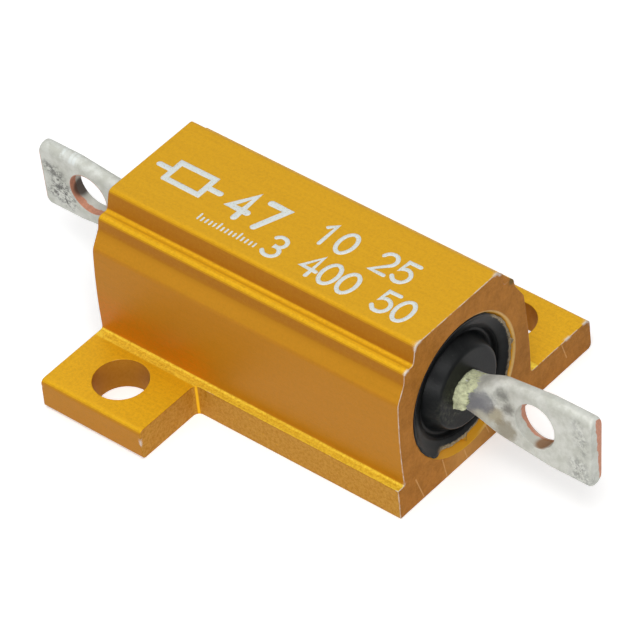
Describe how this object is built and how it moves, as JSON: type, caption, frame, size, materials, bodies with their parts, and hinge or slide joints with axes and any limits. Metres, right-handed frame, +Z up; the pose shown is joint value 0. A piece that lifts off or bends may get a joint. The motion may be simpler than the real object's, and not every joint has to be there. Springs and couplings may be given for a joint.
{
  "type": "aluminium housed power resistor",
  "caption": "Wirewound power resistor in a stepped gold anodised aluminium housing with feet on one diagonal and a flattened, pierced terminal at each end.",
  "frame": {"origin": "the middle of the underside, midway between the two fixing holes", "axes": "+X along the resistor from the left to the right terminal, +Z up from the mounting face, +Y completes the right-handed frame"},
  "size_m": [0.0303, 0.0164, 0.0084],
  "materials": {
    "anodised_housing": "gold anodised, satin",
    "black_moulding": "black silicone moulding",
    "ceramic": "unglazed alumina ceramic",
    "resistance_alloy": "drawn copper nickel alloy wire",
    "cap_steel": "pressed stainless steel",
    "tinned_copper": "tinned copper"
  },
  "bodies": {
    "root": {"housing": "anodised_housing", "moulding": "black_moulding", "ceramic_core": "ceramic", "resistance_winding": "resistance_alloy", "end_cap_left": "cap_steel", "end_cap_right": "cap_steel", "terminal_left": "tinned_copper", "terminal_right": "tinned_copper"}
  },
  "joints": []
}
